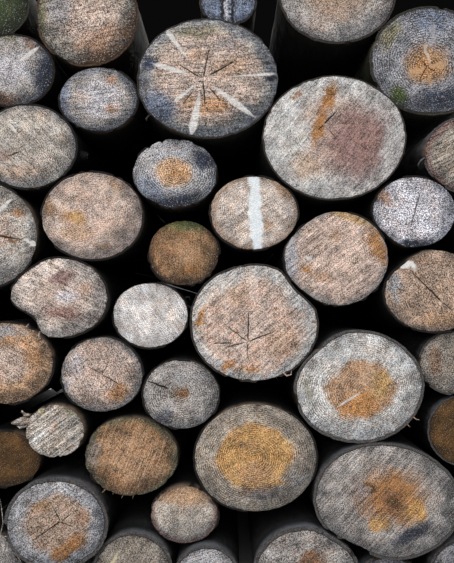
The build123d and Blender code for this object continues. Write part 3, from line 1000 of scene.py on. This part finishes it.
# Upper courses
# The last logs laid. The thickest lie here, one with long pale splinters torn out of its end when it was
# felled, and one with a knotty, star-shaped heart. A few carry short stubs of branches.

butts = {
    "log_46": common_butt("log_46", stubs=((700, 62, 30, 12),)),
    "log_47": common_butt("log_47"),
    "log_48": Butt(
        ash, apricot, 0.42, 0.12, (-2, 2), 4.6, 0.6, (20, 0.12), speckle=1.25, mottle=0.2, ragged=5,
        shed=0.8, grime_and_shade=1,
        blots=(Blot(blue_black, 56, 26, 26, 26, 30, 0.9), Blot(blue_black, 0, -58, 66, 24, 5, 0.85),
               Blot(steel, -50, -30, 26, 34, 30, 0.6), Blot(dust, -60, 24, 20, 22, 0, 0.5),
               Blot(rust, 4, 2, 20, 16, 0, 0.6))),
    "log_49": Butt(
        drab, saw=(27, 1.0), rim=mauve, bark="grey", outer=True,
        blots=(Blot(clay, 10, 10, 20, 40, 0, 0.3),),
        fibres=(Fibre(((-86, -6, 10), (-95, -12, 0), (-102, -22, -6), (-98, -31, -4)), 6, True),)),
    "log_50": Butt(
        sand, pith=(2, -4), saw=(135, 0.25), shed=0.2, rim=dust, rim_reach=0.92, outer=True,
        blots=(Blot(clay, -20, -50, 62, 20, 5, 0.5), Blot(cream, 24, -20, 22, 16, 0, 0.5),
               Blot(mauve, -52, -20, 16, 12, 0, 0.5)),
        cracks=((200, 20, 46),),
        splinters=((128, 40, 70, 4),),
        stubs=((46, -6, 19, 13),)),
    "log_51": Butt(
        bone, tan, 0.6, 0.2, (-20, 27), 4.5, 0.08, (50, 0.25), mottle=0.15, grime_and_shade=0.35, bark="dark",
        bark_thick=3, shed=0.15, outer=True, speckle=0.65,
        blots=(Blot(bone, -88, 0, 50, 90), Blot(apricot, -58, -58, 34, 34, 0, 0.5),
               Blot(mauve, 48, -12, 88, 92, -20, 0.85), Blot(rust, -10, 80, 16, 34, -24, 0.95),
               Blot(rust, -30, 24, 13, 46, -14, 0.85), Blot(clay, -74, 84, 17, 7, 25),
               Blot(bone, 112, -20, 22, 70, -15, 0.7)),
        cracks=((46, 0, 36, 2.2), (222, 0, 18, 1.2), (310, 14, 34, 0.8))),
    "log_52": common_butt("log_52", stubs=((1150, 118, 24, 14),)),
    "log_53": Butt(
        dust, pewter, 0.62, 0.16, saw=(4, 0.5), speckle=1.2, mottle=0.2, rim=slate, rim_reach=0.86,
        shed=0.5, grime_and_shade=1,
        blots=(Blot(clay, 24, 40, 17, 14), Blot(clay, 28, -20, 17, 14, 0, 0.75),
               Blot(tan, -36, 6, 22, 16, 0, 0.6), Blot(soot, 18, 52, 7, 4, 0, 0.9),
               Blot(blue_black, 0, -74, 70, 18, 0, 0.9), Blot(steel, -70, 0, 16, 60, 0, 0.6))),
    "log_54": Butt(
        sand, tan, 0.8, 0.1, (-10, -1), 4.5, 0.05, (4, 0.5), mottle=0.2, grime_and_shade=1, rim=grey, rim_reach=0.88,
        bark="dark", bark_thick=3, shed=0.4, outer=True,
        blots=(Blot(orange, 10, -56, 42, 22, 10, 0.6), Blot(russet, -44, -50, 26, 18, 20, 0.7),
               Blot(steel, -96, -54, 44, 38, -35, 0.85), Blot(russet, 46, 22, 48, 24, 10, 0.5),
               Blot(russet, -20, 44, 30, 20, 0, 0.4), Blot(blue_black, -118, 30, 20, 17, 0, 0.9),
               Blot(blue_black, 124, -2, 20, 10, 0, 0.9), Blot(slate, 84, -66, 34, 20, -35),
               Blot(slate, -120, -10, 18, 34, 0, 0.6), Blot(olive, -20, 94, 70, 14, 5, 0.6),
               Blot(slate, 50, 76, 56, 14, 20, 0.5)),
        cracks=((149, 0, 54, 2.4), (78, 6, 66, 2), (29, 16, 74, 2), (275, 0, 52, 2.6), (308, 22, 56, 1.4),
                (232, 34, 62, 1.2)),
        splinters=((258.5, 30, 124, 15), (219, 14, 78, 10), (163, 26, 112, 7), (323, 22, 134, 9)),
        wedges=((127, 43, 128, 9), (4, 46, 152, 5)),
        fibres=(Fibre(((-116, -72, 8), (-122, -80, 0), (-120, -86, -3)), 5, True),)),
    "log_55": Butt(
        dust, pewter, 0.5, 0.2, (0, 8), saw=(60, 0.12), outer=True, mottle=0.2, rim=slate, rim_reach=0.86,
        grime_and_shade=1,
        blots=(Blot(blue_black, 66, -6, 30, 62, 0, 0.9), Blot(brown, 40, 52, 22, 13, -35, 0.6),
               Blot(brown, -24, -62, 50, 20), Blot(olive, -20, 70, 60, 12, 0, 0.7)),
        splinters=((37, 10, 74, 6),)),
    "log_56": Butt(
        slate, hazel, 0.38, 0.14, (-8, -12), 5, 0.75, (45, 0.1), speckle=1.3, mottle=0.2, bark="mossy",
        bark_thick=5, shed=0.25, outer=True,
        blots=(Blot(steel, 0, 80, 44, 26, 0, 0.7), Blot(slate, 70, -10, 30, 70, 0, 0.6),
               Blot(grey, -70, -34, 24, 9, 25, 0.7), Blot(moss, -66, -70, 26, 22, -40, 0.9),
               Blot(olive, -84, 50, 24, 44, -25), Blot(blue_black, 20, -76, 70, 26, 10),
               Blot(orange, -10, -14, 34, 28, 0, 0.5), Blot(apricot, -30, -22, 26, 5, 27, 0.75, True),
               Blot(apricot, 14, -8, 22, 5, 8, 0.75, True), Blot(cream, -6, 14, 4, 24, 6, 0.7, True),
               Blot(apricot, 0, -36, 4, 18, 12, 0.6, True), Blot(pewter, 2, 54, 6, 30, -4, 0.5, True)),
        cracks=((130, 2, 24, 1), (240, 2, 30, 1), (325, 2, 28, 1)),
        stubs=((1480, 40, 36, 16),)),
    "log_57": Butt(
        drab, tan, 0.6, 0.2, saw=(14, 0.55), bark="brown", bark_thick=5, mottle=0.15, speckle=1.2, shed=0.2,
        outer=True, grime_and_shade=1,
        blots=(Blot(slate, -56, 10, 30, 50, 0, 0.6), Blot(olive, -94, -6, 14, 60),
               Blot(clay, 30, -46, 66, 30, 24), Blot(brown, 36, -84, 76, 26, 14, 0.9),
               Blot(brown, 90, -26, 22, 50, -20), Blot(rose, 14, 16, 40, 22, 0, 0.4)),
        stubs=((860, 96, 34, 14),)),
    "log_58": Butt(
        dust, umber, 0.55, 0.2, saw=(30, 0.1), bark="dark", shed=0.2, outer=True,
        blots=(Blot(tan, -40, -66, 40, 16, -20, 0.5), Blot(dust, 10, -78, 60, 13, 0, 0.4)),
        stubs=((520, 84, 32, 18),)),
    "log_59": Butt(
        steel, saw=(90, 0.4), bark="dark", outer=True,
        blots=(Blot(pewter, -2, 0, 5, 80, 0, 0.9), Blot(soot, -10, 0, 3.5, 80, 0, 0.9),
               Blot(soot, 8, 0, 3.5, 80, 0, 0.9))),
    "log_60": Butt(
        murk, speckle=0.8, bark="mossy", outer=True,
        stubs=((1700, 70, 22, 12),)),
}
for name, butt in butts.items():
    Log(name, butt)


# Setting
# A plain pale floor, broad soft lamps all round and a camera square to the butt ends, as far away as the
# photographer stood. None of it belongs to the stack.

floor_half = 400.0
corners = [(x * floor_half, y * floor_half, 0) for x, y in ((-1, -1), (1, -1), (1, 1), (-1, 1))]
floor_mesh = bpy.data.meshes.new("floor")
floor_mesh.from_pydata(corners, [], [(0, 1, 2, 3)])
floor = bpy.data.objects.new("floor", floor_mesh)
floor_finish = Finish("floor", 0.9)
floor_finish.shader.inputs["Base Color"].default_value = (0.62, 0.61, 0.60, 1)
floor_mesh.materials.append(floor_finish.material)
bpy.context.scene.collection.objects.link(floor)

# The sky lights the stack, but a ray that looks straight at it finds it nearly black: painted shade that
# stands in for the dark pile behind the gaps
world = bpy.data.worlds.new("studio")
world.use_nodes = True
bpy.context.scene.world = world
graph = Graph(world.node_tree)
sky = graph.tree.nodes["Background"]
sky.inputs["Color"].default_value = (0.80, 0.86, 0.94, 1)
sky.inputs["Strength"].default_value = 0.2
gap_shade_backdrop = graph.tree.nodes.new("ShaderNodeBackground")
gap_shade_backdrop.inputs["Color"].default_value = (0.003, 0.003, 0.003, 1)
looked_at = graph.node("ShaderNodeLightPath", {}, {}, "Is Camera Ray")
seen_rays = looked_at.socket.node
for kind in ("Is Glossy Ray", "Is Transmission Ray"):
    looked_at = looked_at + Wire(graph, seen_rays.outputs[kind])
either = graph.tree.nodes.new("ShaderNodeMixShader")
for number, output in enumerate((looked_at.socket, sky.outputs[0], gap_shade_backdrop.outputs[0])):
    graph.tree.links.new(output, either.inputs[number])
graph.tree.links.new(either.outputs[0], graph.tree.nodes["World Output"].inputs["Surface"])

lamp_side = 3.4
end_power, side_power = 270, 170
middle = (0.02, 0, 0.65)
lamps = {
    "front_lamp": ((-0.8, -6.2, 2.6), (0.02, -1.2, 0.5), end_power),
    "back_lamp": ((0.8, 6.2, 2.9), (0.02, 1.2, 0.55), end_power),
    "left_lamp": ((-6.0, 0.8, 3.2), middle, side_power),
    "right_lamp": ((6.0, 0.8, 3.2), middle, side_power),
}
for name, (place, target, power) in lamps.items():
    light = bpy.data.lights.new(name, "AREA")
    light.shape, light.size, light.size_y, light.energy = "RECTANGLE", lamp_side, lamp_side, power
    lamp = bpy.data.objects.new(name, light)
    lamp.location = place
    lamp.rotation_euler = (Vector(target) - Vector(place)).to_track_quat("-Z", "Y").to_euler()
    bpy.context.scene.collection.objects.link(lamp)

seen_height = 1.126          # metres of the front plane that the photograph's height takes in
camera_away = 2.4
camera_data = bpy.data.cameras.new("camera")
camera = bpy.data.objects.new("camera", camera_data)
bpy.context.scene.collection.objects.link(camera)
camera_data.sensor_fit = "AUTO"
camera_data.sensor_width = 36
camera_data.lens = camera_data.sensor_width * camera_away / seen_height
camera.location = (0.0223, front_plane - camera_away, 0.652)
camera.rotation_euler = (math.radians(90), 0, 0)
bpy.context.scene.camera = camera
bpy.context.scene.view_settings.view_transform = "Standard"

bpy.context.view_layer.update()
